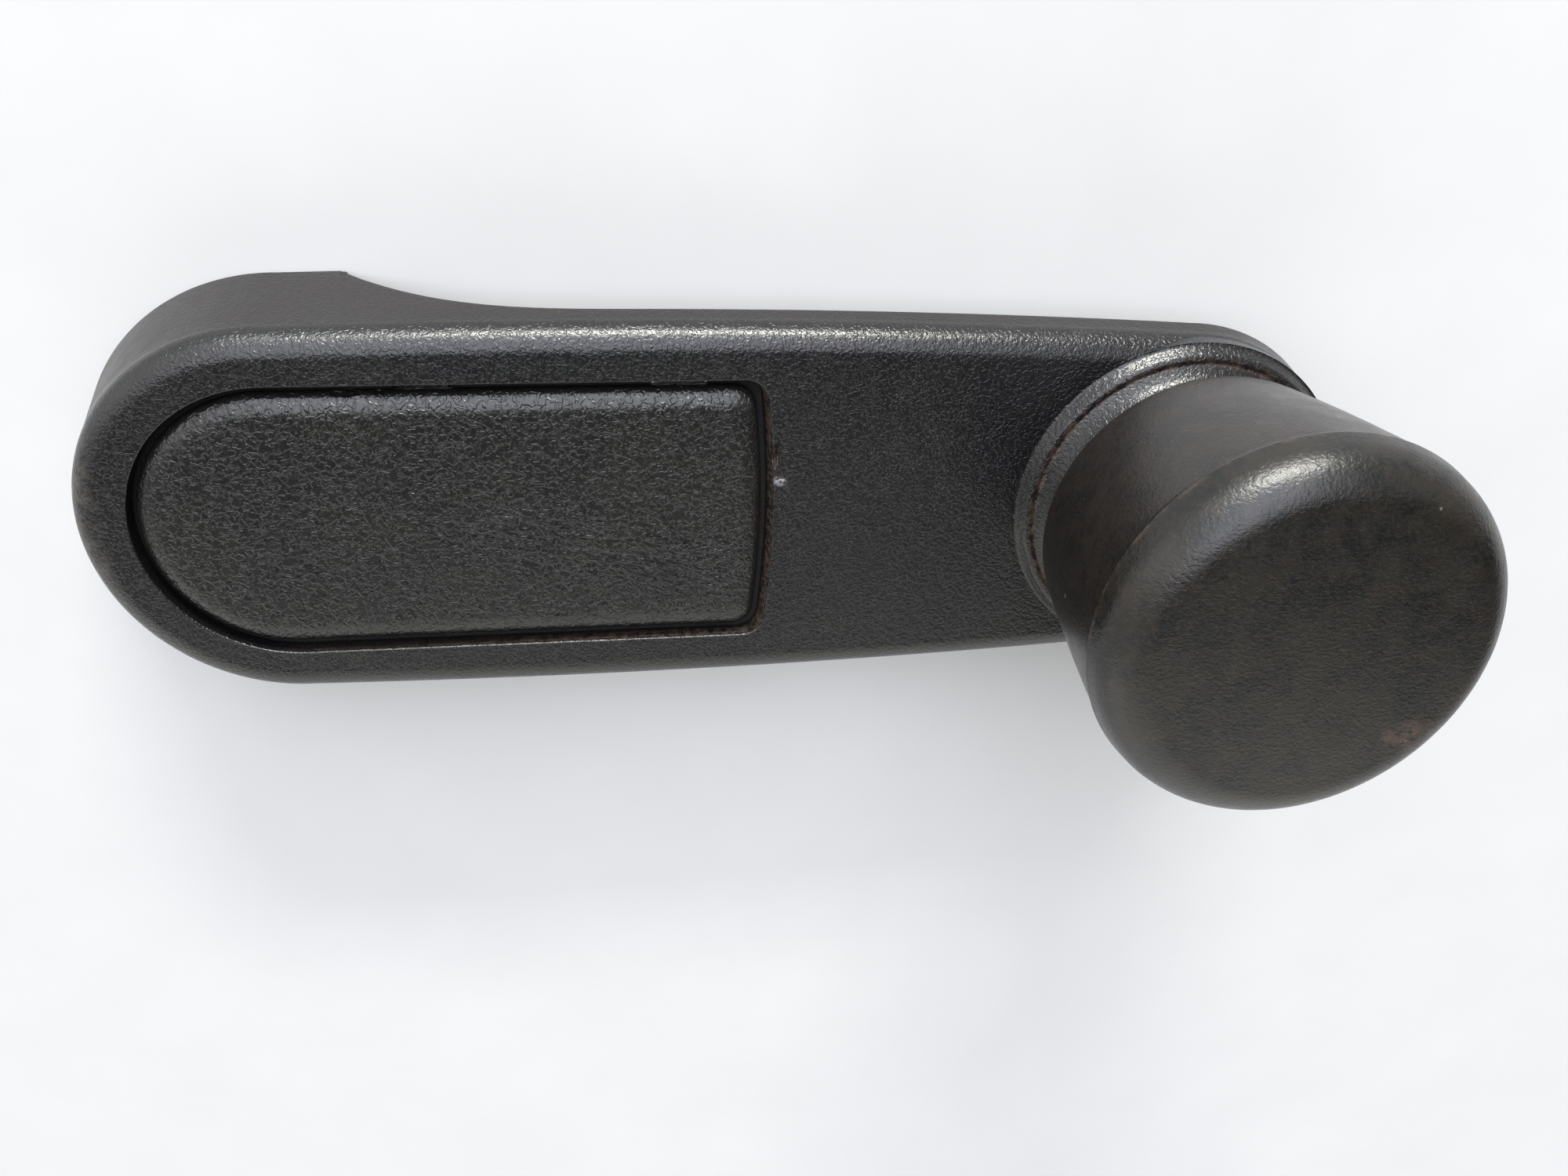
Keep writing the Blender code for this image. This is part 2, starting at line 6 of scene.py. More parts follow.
import bmesh
import bpy
from mathutils import Matrix, Vector, noise

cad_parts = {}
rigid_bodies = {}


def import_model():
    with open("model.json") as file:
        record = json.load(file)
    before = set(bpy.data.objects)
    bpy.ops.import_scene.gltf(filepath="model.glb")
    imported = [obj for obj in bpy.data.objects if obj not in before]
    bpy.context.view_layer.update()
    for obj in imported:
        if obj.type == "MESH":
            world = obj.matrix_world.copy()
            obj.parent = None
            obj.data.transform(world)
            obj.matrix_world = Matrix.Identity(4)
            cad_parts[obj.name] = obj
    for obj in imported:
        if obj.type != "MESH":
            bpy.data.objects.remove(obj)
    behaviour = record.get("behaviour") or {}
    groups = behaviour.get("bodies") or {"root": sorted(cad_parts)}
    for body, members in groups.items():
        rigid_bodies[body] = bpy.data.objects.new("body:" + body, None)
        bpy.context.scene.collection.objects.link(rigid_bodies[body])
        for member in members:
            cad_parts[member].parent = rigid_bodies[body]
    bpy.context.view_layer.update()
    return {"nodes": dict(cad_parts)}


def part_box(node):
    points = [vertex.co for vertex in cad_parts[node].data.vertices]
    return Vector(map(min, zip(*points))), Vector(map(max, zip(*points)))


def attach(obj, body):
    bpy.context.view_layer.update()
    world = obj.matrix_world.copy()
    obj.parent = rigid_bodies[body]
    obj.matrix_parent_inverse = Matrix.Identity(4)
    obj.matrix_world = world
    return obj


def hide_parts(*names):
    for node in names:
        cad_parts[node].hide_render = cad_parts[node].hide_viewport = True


for old in list(bpy.data.objects):
    bpy.data.objects.remove(old, do_unlink=True)

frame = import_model()
SCENE = bpy.context.scene
MM = 0.001

# ------------------------------------------------------------------ places, from the CAD

ARM_LO, ARM_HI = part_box("crank_arm")
COVER_LO, COVER_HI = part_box("cover_cap")
KNOB_LO, KNOB_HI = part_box("knob_grip")
PIN_LO, PIN_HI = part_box("knob_pin")
BUSH_LO, BUSH_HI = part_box("knob_bush")
INSERT_LO, INSERT_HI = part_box("spline_insert")
PLATE_LO, PLATE_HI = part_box("core_plate")
SCREW_LO, SCREW_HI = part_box("retaining_screw")

REACH = (KNOB_LO.x + KNOB_HI.x) / 2 / MM  # spindle axis to knob axis, in mm
KNOB_Z0, KNOB_TOP_Z = KNOB_LO.z / MM, KNOB_HI.z / MM
COVER_TOP_Z = COVER_HI.z / MM

# The same driving dimensions as the CAD, in mm.
HUB_R, END_R, BOW = 17.45, 16.0, 0.87
FRONT_Z, EDGE_R, DRAFT = 12.06, 2.5, 1.81
BACK_Z, SWEEP_X0, SWEEP_LEN, SWEEP_POWER = 7.69, 5.64, 26.4, 3.1
WALL, CORE_Z, HUB_BOSS_R, HUB_BOSS_Z = 2.2, 6.9, 10.7, 0.2
RECESS_R, RECESS_X1, RECESS_CORNER, RECESS_Z = 12.85, 42.75, 2.2, 10.0
RECESS_SHIFT, RECESS_BOW = 0.3, 0.55
COVER_GAP, COVER_END_GAP, COVER_EDGE_W, COVER_EDGE_H = 0.77, 1.0, 2.3, 1.42
HOOK_X, HOOK_W = (13.0, 35.0), 4.4
PLATE_R0, PLATE_R1, PLATE_Z0, PLATE_Z1 = 11.0, 9.5, 7.9, 8.9
WINDOW_X0, STAKE_X = 20.0, (30.0, 58.0)
GAP = 0.25
INSERT_R, INSERT_BAND_R, SPIGOT_R = 8.0, 9.0, 7.2
BOSS_R, BOSS_STEP_R, BOSS_TOP_R, BOSS_TOP_Z = 15.46, 14.2, 11.85, 16.95
BOSS_SEAT_R, BOSS_SEAT_Z, PIN_HOLE_R = 10.5, 16.15, 3.25
KNOB_BASE_R, KNOB_LIP_R, KNOB_LIP_Z = 14.6, 16.75, 36.06
BUSH_Z0 = 17.6
KNOB_TUBE_R, KNOB_TUBE_WALL = 7.25, 1.7

# ------------------------------------------------------------------ mesh helpers


def object_from(name, bm, mat=None):
    """A bmesh in mm becomes an object in metres, facing out."""
    bmesh.ops.scale(bm, vec=(MM, MM, MM), verts=bm.verts)
    bmesh.ops.recalc_face_normals(bm, faces=bm.faces)
    if bm.calc_volume(signed=True) < 0:
        bmesh.ops.reverse_faces(bm, faces=bm.faces)
    mesh = bpy.data.meshes.new(name)
    bm.to_mesh(mesh)
    bm.free()
    obj = bpy.data.objects.new(name, mesh)
    SCENE.collection.objects.link(obj)
    if mat:
        mesh.materials.append(mat)
    return obj


def ring_loft(rings):
    bm = bmesh.new()
    rows = [[bm.verts.new(p) for p in ring] for ring in rings]
    count = len(rows[0])
    for low, high in zip(rows, rows[1:]):
        for i in range(count):
            j = (i + 1) % count
            bm.faces.new((low[i], low[j], high[j], high[i]))
    bm.faces.new(list(reversed(rows[0])))
    bm.faces.new(rows[-1])
    return bm


def prism(points, z0, z1):
    return ring_loft([[(x, y, z) for x, y in points] for z in (z0, z1)])


def turned(profile, steps, center=(0.0, 0.0)):
    """Turns an (r, z) profile about the vertical at center; it is closed, or runs axis to axis."""
    bm = bmesh.new()
    on_axis = profile[0][0] < 1e-9 and profile[-1][0] < 1e-9
    rows = []
    for r, z in profile:
        if r < 1e-9:
            rows.append([bm.verts.new((center[0], center[1], z))])
        else:
            rows.append(
                [
                    bm.verts.new(
                        (
                            center[0] + r * math.cos(2 * math.pi * i / steps),
                            center[1] + r * math.sin(2 * math.pi * i / steps),
                            z,
                        )
                    )
                    for i in range(steps)
                ]
            )
    pairs = list(zip(rows, rows[1:]))
    if not on_axis:
        pairs.append((rows[-1], rows[0]))
    for a, b in pairs:
        for i in range(steps):
            j = (i + 1) % steps
            if len(a) == 1 and len(b) == 1:
                continue
            if len(a) == 1:
                bm.faces.new((a[0], b[j], b[i]))
            elif len(b) == 1:
                bm.faces.new((a[i], a[j], b[0]))
            else:
                bm.faces.new((a[i], a[j], b[j], b[i]))
    return bm


def box(x0, x1, y0, y1, z0, z1):
    bm = bmesh.new()
    bmesh.ops.create_cube(bm, size=1.0)
    bmesh.ops.scale(bm, vec=(x1 - x0, y1 - y0, z1 - z0), verts=bm.verts)
    bmesh.ops.translate(bm, vec=((x0 + x1) / 2, (y0 + y1) / 2, (z0 + z1) / 2), verts=bm.verts)
    return bm


def spun(bm, degrees, center=(0.0, 0.0)):
    bmesh.ops.rotate(
        bm, cent=(0, 0, 0), matrix=Matrix.Rotation(math.radians(degrees), 3, "Z"), verts=bm.verts
    )
    bmesh.ops.translate(bm, vec=(center[0], center[1], 0), verts=bm.verts)
    return bm


def combine(obj, other, operation="DIFFERENCE"):
    modifier = obj.modifiers.new("combine", "BOOLEAN")
    modifier.operation = operation
    modifier.solver = "EXACT"
    modifier.object = other
    bpy.context.view_layer.update()
    graph = bpy.context.evaluated_depsgraph_get()
    mesh = bpy.data.meshes.new_from_object(obj.evaluated_get(graph))
    obj.modifiers.clear()
    old, name = obj.data, obj.data.name
    obj.data = mesh
    bpy.data.meshes.remove(old)
    mesh.name = name
    bpy.data.objects.remove(other, do_unlink=True)
    return obj


def cut(obj, bm):
    return combine(obj, object_from("cutter", bm))


def add(obj, bm):
    return combine(obj, object_from("addition", bm), "UNION")


def finish_shading(obj, angle=24.0):
    """Smooth faces with crisp edges; flat faces keep flat shading next to roundings."""
    bm = bmesh.new()
    bm.from_mesh(obj.data)
    bmesh.ops.remove_doubles(bm, verts=bm.verts, dist=2e-7)
    bmesh.ops.dissolve_degenerate(bm, edges=bm.edges, dist=2e-7)
    bm.to_mesh(obj.data)
    bm.free()
    obj.data.shade_smooth()
    obj.data.set_sharp_from_angle(angle=math.radians(angle))
    # A wide flat face keeps its own normal right up to its edge wherever its neighbour turns away from it.
    bm = bmesh.new()
    bm.from_mesh(obj.data)
    for edge in bm.edges:
        if len(edge.link_faces) == 2:
            wide = max(edge.link_faces, key=lambda f: f.calc_area())
            if wide.calc_area() > 3e-5 and edge.calc_face_angle(0.0) > math.radians(8):
                edge.smooth = False
    bm.to_mesh(obj.data)
    bm.free()
    weighted = obj.modifiers.new("weighted", "WEIGHTED_NORMAL")
    weighted.keep_sharp = True
    weighted.weight = 60


def arc(cx, cy, r, a0, a1, steps):
    return [
        (
            cx + r * math.cos(math.radians(a0 + (a1 - a0) * i / steps)),
            cy + r * math.sin(math.radians(a0 + (a1 - a0) * i / steps)),
        )
        for i in range(steps + 1)
    ]


def lump(center, size, turn=0.0, seed=0.0, detail=3):
    """A small irregular nodule, for nicks and burrs."""
    bm = bmesh.new()
    bmesh.ops.create_icosphere(bm, subdivisions=detail, radius=1.0)
    for vert in bm.verts:
        at = vert.co.copy()
        swell = 1 + 0.38 * noise.noise(at * 1.6 + Vector((seed, 0, 0))) + 0.16 * noise.noise(at * 4.3 + Vector((0, seed, 0)))
        vert.co = Vector((at.x * size[0], at.y * size[1], at.z * size[2])) * swell
    bmesh.ops.rotate(bm, cent=(0, 0, 0), matrix=Matrix.Rotation(math.radians(turn), 3, "Z"), verts=bm.verts)
    bmesh.ops.translate(bm, vec=center, verts=bm.verts)
    return bm


# ------------------------------------------------------------------ outlines


def arm_outline(offset, arc_steps=96, side_steps=56):
    r1, r2 = HUB_R + offset, END_R + offset
    lean = math.degrees(math.acos((HUB_R - END_R) / REACH))
    hub = arc(0, 0, r1, lean, 360 - lean, arc_steps)
    end = arc(REACH, 0, r2, -lean, lean, arc_steps)
    nx, ny = math.cos(math.radians(lean)), math.sin(math.radians(lean))

    def side(p, q, sign):
        # Stations are closest together where the rear rim leaves the hub.
        start = (SWEEP_X0 - min(p[0], q[0])) / REACH
        near = [start + d for d in (-0.024, -0.012, -0.005, -0.0015, 0.0, 0.0015, 0.005, 0.011, 0.019, 0.028)]
        marks = [i / side_steps for i in range(1, side_steps)]
        marks = sorted([m for m in marks if abs(m - start) > 0.034] + [m for m in near if 0.002 < m < 0.998])
        if p[0] > q[0]:
            marks = [1 - m for m in reversed(marks)]
        points = []
        for s in marks:
            swell = BOW * 4 * s * (1 - s)
            points.append(
                (p[0] + (q[0] - p[0]) * s + nx * swell, p[1] + (q[1] - p[1]) * s + sign * ny * swell)
            )
        return points

    return hub + side(hub[-1], end[0], -1) + end + side(end[-1], hub[0], 1)


def recess_outline(inset, end_inset, corner, shift=0.0, arc_steps=72, corner_steps=12):
    """Rounded at the hub, nearly straight and slightly bowed at the other end."""
    r = RECESS_R - inset
    x1 = RECESS_X1 - end_inset
    points = arc(shift, 0, r, 90, 270, arc_steps)
    points += arc(x1 - corner, -r + corner, corner, -90, 0, corner_steps)
    half = r - corner
    points += [(x1 + RECESS_BOW * (1 - (t / 8) ** 2), half * t / 8) for t in range(-7, 8)]
    points += arc(x1 - corner, r - corner, corner, 0, 90, corner_steps)
    return points


def plate_outline(offset, x_min=None):
    r0, r1 = PLATE_R0 + offset, PLATE_R1 + offset
    lean = math.degrees(math.acos((PLATE_R0 - PLATE_R1) / REACH))
    end = arc(REACH, 0, r1, -lean, lean, 48)
    if x_min is None:
        return arc(0, 0, r0, lean, 360 - lean, 60) + end
    half = r0 - (r0 - r1) * x_min / REACH
    return [(x_min, half), (x_min, -half)] + end


def sweep_z(x):
    u = min(max((x - SWEEP_X0) / SWEEP_LEN, 0.0), 1.0)
    return BACK_Z * (1 - (1 - u) ** SWEEP_POWER)


# ------------------------------------------------------------------ pieces


def arm_body():
    """Outer skin of the arm: drafted walls whose lower edge follows the sweep, rounded at both edges."""
    low_r = 0.28
    top = FRONT_Z - EDGE_R
    base = arm_outline(0.0)
    count = len(base)
    # Extra outline points where the hub's rim ends, so that the corner there stays crisp.
    rings = []

    def grown(offset):
        return arm_outline(offset)

    def ring(draft_at, inset, lift):
        """Ring at the rear rim; draft_at is not used, the wall's own spread there is worked out from the height."""
        points = []
        for i in range(count):
            x0, y0 = base[i]
            z = sweep_z(x0)
            spread = DRAFT * (1 - (z + lift) / top) - inset
            points.append((i, spread, z + lift))
        # Offsetting each point along the outline's own normal is a blend of two grown outlines.
        small, large = grown(-1.0), grown(2.0)
        out = []
        for i, spread, z in points:
            t = (spread + 1.0) / 3.0
            x = small[i][0] + (large[i][0] - small[i][0]) * t
            y = small[i][1] + (large[i][1] - small[i][1]) * t
            out.append((x, y, z))
        return out

    for a in (90, 60, 30):
        c = math.radians(a)
        rings.append(ring(0, low_r * (1 - math.cos(c)), low_r * (1 - math.sin(c))))
    rings.append(ring(0, 0.0, low_r))
    wall_steps = 6
    low_ring = rings[-1]
    high_ring = [(x, y, top) for x, y in grown(0.0)]
    for k in range(1, wall_steps):
        t = k / wall_steps
        rings.append(
            [
                tuple(a + (b - a) * t for a, b in zip(p, q))
                for p, q in zip(low_ring, high_ring)
            ]
        )
    for k in range(0, 15):
        a = math.radians(90 * k / 14)
        rings.append(
            [
                (x, y, top + EDGE_R * math.sin(a))
                for x, y in grown(-EDGE_R * (1 - math.cos(a)))
            ]
        )
    bm = bmesh.new()
    rows = [[bm.verts.new(p) for p in r] for r in rings]
    for low, high in zip(rows, rows[1:]):
        for i in range(count):
            j = (i + 1) % count
            bm.faces.new((low[i], low[j], high[j], high[i]))
    bm.faces.new(rows[-1])
    # The underside is ruled across the arm between mirrored rim points.
    low = rows[0]
    order = sorted(range(count), key=lambda i: (round(low[i].co.x, 5)))
    upper = [i for i in range(count) if low[i].co.y > 1e-6]
    lower = {round(low[i].co.x, 4): i for i in range(count) if low[i].co.y < -1e-6}
    upper.sort(key=lambda i: low[i].co.x)
    pairs = []
    for i in upper:
        key = min(lower, key=lambda x: abs(x - low[i].co.x))
        pairs.append((low[i], low[lower[key]]))
    axis = [v for v in low if abs(v.co.y) <= 1e-6]
    axis.sort(key=lambda v: v.co.x)
    for (a, b), (c, d) in zip(pairs, pairs[1:]):
        bm.faces.new((a, b, d, c))
    if axis:
        bm.faces.new((axis[0], pairs[0][1], pairs[0][0]))
        bm.faces.new((axis[-1], pairs[-1][0], pairs[-1][1]))
    else:
        pass
    return bm


def boss_profile():
    """Stepped boss under the knob: a sloping step, a fine groove, then a cove that rises to the seat."""
    points = [(0.0, FRONT_Z - 2.0), (BOSS_R + 0.36, FRONT_Z - 2.0), (BOSS_R + 0.36, FRONT_Z - 0.004)]
    for k in range(1, 7):  # concave foot
        a = math.radians(52 * k / 6)
        points.append((BOSS_R + 0.36 - 0.42 * math.sin(a), FRONT_Z - 0.004 + 0.42 * (1 - math.cos(a))))
    for k in range(0, 8):  # rolled lip
        a = math.radians(34 + 62 * k / 7)
        points.append((BOSS_R - 0.93 + 0.62 * math.cos(a), FRONT_Z + 0.44 + 0.58 * math.sin(a)))
    points += [
        (BOSS_STEP_R + 0.24, FRONT_Z + 0.98),
        (BOSS_STEP_R + 0.14, FRONT_Z + 0.93),
        (BOSS_STEP_R + 0.04, FRONT_Z + 0.89),
        (BOSS_STEP_R - 0.08, FRONT_Z + 0.88),
        (BOSS_STEP_R - 0.18, FRONT_Z + 0.91),
    ]
    cove = [(14.0, 0.97), (13.66, 1.14), (13.42, 1.34), (13.15, 1.58), (12.88, 1.92), (12.62, 2.36), (12.38, 2.88), (12.18, 3.42), (12.02, 3.95), (11.92, 4.35)]
    points += [(r, FRONT_Z + z) for r, z in cove[1:]]
    for k in range(1, 6):
        a = math.radians(90 * k / 5)
        points.append((BOSS_TOP_R - 0.26 + 0.26 * math.cos(a), BOSS_TOP_Z - 0.26 + 0.26 * math.sin(a)))
    points += [(BOSS_SEAT_R, BOSS_TOP_Z), (BOSS_SEAT_R, BOSS_SEAT_Z), (0.0, BOSS_SEAT_Z)]
    return points


NICKS = (
    ((43.42, 5.9, 12.05), (0.34, 1.55, 0.6), -6.0, 2.1),
    ((43.72, 4.0, 12.12), (0.42, 0.62, 0.4), 24.0, 5.7),
)
BURRS = (
    ((43.82, 3.2, 12.02), (0.5, 0.26, 0.16), 12.0, 4.4),
    ((SWEEP_X0 + 0.3, 19.2, 0.5), (0.3, 0.13, 0.3), -10.0, 5.5),
)


def make_arm(mat):
    arm = object_from("arm_moulding", arm_body(), mat)

    def hollow(z):
        grow = DRAFT * (1 - z / (FRONT_Z - EDGE_R)) - WALL
        r, x1 = HUB_R + grow, 17.5
        return (
            [(x, y, z) for x, y in arc(0, 0, r, 88, 272, 80)]
            + [(x, y, z) for x, y in arc(x1 - 4, -r + 4.2, 4, -88, 0, 12)]
            + [(x, y, z) for x, y in arc(x1 - 4, r - 4.2, 4, 0, 88, 12)]
        )

    cut(arm, ring_loft([hollow(-1.0), hollow(CORE_Z)]))

    core = object_from(
        "hub_core",
        turned(
            [
                (0, HUB_BOSS_Z),
                (HUB_BOSS_R - 0.3, HUB_BOSS_Z),
                (HUB_BOSS_R - 0.09, HUB_BOSS_Z + 0.09),
                (HUB_BOSS_R, HUB_BOSS_Z + 0.3),
                (HUB_BOSS_R, 8.0),
                (0, 8.0),
            ],
            120,
        ),
    )
    for angle, low in ((60, 3.0), (105, 1.2), (142.5, 1.2), (180, 1.2), (217.5, 1.2), (255, 1.2), (300, 3.0)):
        add(core, spun(box(9.5, 16.4, -0.7, 0.7, low, 7.4), angle))
    combine(arm, core, "UNION")
    add(arm, turned(boss_profile(), 160, (REACH, 0)))
    cut(arm, turned([(0, 0), (PIN_HOLE_R, 0), (PIN_HOLE_R, 20), (0, 20)], 48, (REACH, 0)))

    # Front recess: its mouth is rounded over a little, and its far wall leans outward.
    rings = []
    for k in range(0, 5):
        a = math.radians(90 * k / 4)
        rings.append((0.28 * (1 - math.sin(a)), 0.5, RECESS_Z + 0.28 * (1 - math.cos(a))))
    for k in range(1, 6):
        rings.append((0.0, 0.5 * (1 - k / 5), RECESS_Z + 0.28 + (FRONT_Z - 0.44 - RECESS_Z) * k / 5))
    for k in range(1, 6):
        a = math.radians(90 * k / 5)
        over = -0.16 * (1 - math.cos(a))
        rings.append((over, over, FRONT_Z - 0.16 + 0.165 * math.sin(a)))
    rings.append((-0.16, -0.16, FRONT_Z + 2.0))
    cut(
        arm,
        ring_loft(
            [
                [(x, y, z) for x, y in recess_outline(d, e, RECESS_CORNER - d, RECESS_SHIFT)]
                for d, e, z in rings
            ]
        ),
    )
    for x in HOOK_X:
        for side in (1, -1):
            half = HOOK_W / 2 + 0.3
            y = sorted((side * 11.25, side * 12.6))
            cut(arm, box(x - half, x + half, *y, -1.0, RECESS_Z + 0.5))
            y = sorted((side * 11.25, side * 13.5))
            cut(arm, box(x - half, x + half, *y, -1.0, 8.75))
    cavity = [
        (0, -1.0),
        (INSERT_R + GAP, -1.0),
        (INSERT_R + GAP, 2.15),
        (INSERT_BAND_R + GAP, 2.15),
        (INSERT_BAND_R + GAP, 4.85),
        (INSERT_R + GAP, 4.85),
        (INSERT_R + GAP, PLATE_Z0 + 0.1),
        (SPIGOT_R + GAP, PLATE_Z0 + 0.1),
        (SPIGOT_R + GAP, RECESS_Z + 0.5),
        (0, RECESS_Z + 0.5),
    ]
    cut(arm, turned(cavity, 96))
    cut(arm, prism(plate_outline(GAP), PLATE_Z0 - GAP, PLATE_Z1 + GAP))
    cut(arm, prism(plate_outline(GAP, WINDOW_X0), 2.0, PLATE_Z0 + 0.1))
    for x in STAKE_X:
        stake = [(0, 6.95), (0.7, 6.96), (1.3, 7.02), (1.8, 7.16), (2.15, 7.36), (2.3, 7.55), (2.3, PLATE_Z0 - GAP)]
        stake += [(1.15, PLATE_Z0 - GAP), (1.15, PLATE_Z1 + 0.6), (0, PLATE_Z1 + 0.6)]
        add(arm, turned(stake, 40, (x, 0)))
    # Marks left by a lever at the recess's rim, and the flash at the end of the hub's rear rim.
    for center, size, turn, seed in NICKS:
        cut(arm, lump(center, size, turn, seed))
    for center, size, turn, seed in BURRS:
        add(arm, lump(center, size, turn, seed))
    finish_shading(arm)
    return arm


def make_cover(mat):
    inset, low = COVER_GAP, RECESS_Z + 0.3
    wide, deep = COVER_EDGE_W, COVER_EDGE_H
    shoulder = COVER_TOP_Z - 0.03 - deep
    rings = [(inset + 0.12, low), (inset, low + 0.1)]
    for k in range(0, 17):
        a = math.radians(90 * k / 16)
        rings.append((inset + wide * (1 - math.cos(a)), shoulder + deep * math.sin(a)))
    # The top is faintly crowned.
    for d, z in ((3.2, -0.022), (4.6, -0.012), (7.0, 0.0)):
        rings.append((inset + d, COVER_TOP_Z + z))

    def ring(d, z):
        over = d - inset
        corner = max(RECESS_CORNER - 0.1 - over * 0.5, 0.45)
        return [(x, y, z) for x, y in recess_outline(d, COVER_END_GAP + over * 0.85, corner, 0.0, 96, 12)]

    cover = object_from("cover_trim", ring_loft([ring(d, z) for d, z in rings]), mat)
    for x in HOOK_X:
        for side in (1, -1):
            leg = [
                (11.45, low + 0.3),
                (11.45, 7.95),
                (12.15, 7.95),
                (12.48, 8.35),
                (12.48, 8.5),
                (12.15, 8.6),
                (12.15, low + 0.3),
            ]
            points = [(side * y, z) for y, z in leg]
            add(
                cover,
                ring_loft([[(x + dx, y, z) for y, z in points] for dx in (-HOOK_W / 2, HOOK_W / 2)]),
            )
    for center, size, turn, seed in (
        ((6.9, 12.0, 11.2), (1.25, 0.32, 0.8), 2.0, 3.9),
        ((9.6, 12.05, 11.2), (0.5, 0.2, 0.7), -4.0, 1.6),
        ((42.45, 5.2, 11.2), (0.2, 0.55, 0.8), 4.0, 2.2),
    ):
        cut(cover, lump(center, size, turn, seed))
    finish_shading(cover)
    return cover


def knob_radius(z):
    t = (z - KNOB_Z0) / (KNOB_LIP_Z - 1.2 - KNOB_Z0)
    return KNOB_BASE_R + 2.06 * (1.28 * t - 0.28 * t * t)


def knob_outer():
    points = []
    for k in range(0, 7):  # rounded foot
        a = math.radians(-90 + 90 * k / 6)
        points.append((KNOB_BASE_R - 0.3 + 0.3 * math.cos(a), KNOB_Z0 + 0.3 + 0.3 * math.sin(a)))
    steps, top = 30, KNOB_LIP_Z - 1.2
    for i in range(1, steps + 1):
        z = KNOB_Z0 + 0.3 + (top - KNOB_Z0 - 0.3) * i / steps
        points.append((knob_radius(z), z))
    # The lip: a small concave turn, then out to the widest line.
    neck = knob_radius(top)
    # A slight flare ends in a fine ridge, where the head's rounding begins.
    for r, z in ((0.02, 0.2), (0.05, 0.36), (0.10, 0.50), (0.155, 0.60), (0.185, 0.66), (0.19, 0.73), (0.175, 0.82), (0.13, 1.10)):
        points.append((neck + r, top + z))
    rise, turn_in = KNOB_TOP_Z - 0.35 - KNOB_LIP_Z, 4.0
    for k in range(0, 16):
        a = math.radians(12 + 78 * k / 15)
        points.append((KNOB_LIP_R - turn_in * (1 - math.cos(a)), KNOB_LIP_Z + rise * math.sin(a)))
    edge_r, edge_z = points[-1]
    for k in range(1, 9):
        t = k / 9
        points.append((edge_r * (1 - t), edge_z + 0.35 * (1 - (1 - t) ** 2)))
    points.append((0.0, KNOB_TOP_Z))
    return points


def make_knob(mat):
    tube = KNOB_TUBE_R + KNOB_TUBE_WALL
    inner = [
        (0.0, 32.0),
        (KNOB_TUBE_R, 32.0),
        (KNOB_TUBE_R, BUSH_Z0 + 1.6),
        (tube, BUSH_Z0 + 1.6),
        (tube, 35.6),
        (12.6, 35.6),
        (13.6, 34.4),
        (12.2, BUSH_Z0 + 1.6),
        (12.1, KNOB_Z0 + 0.05),
        (12.2, KNOB_Z0),
    ]
    knob = object_from("knob_shell", turned(inner + knob_outer(), 192, (REACH, 0)), mat)
    for i in range(6):
        web = box(tube - 0.4, 12.6, -0.7, 0.7, BUSH_Z0 + 2.2, 36.0)
        for vert in web.verts:
            if vert.co.x > 10 and vert.co.z > 30:
                vert.co.x = 14.0
        add(knob, spun(web, 60 * i + 30, (REACH, 0)))
    finish_shading(knob, 40)
    return knob


# ------------------------------------------------------------------ materials


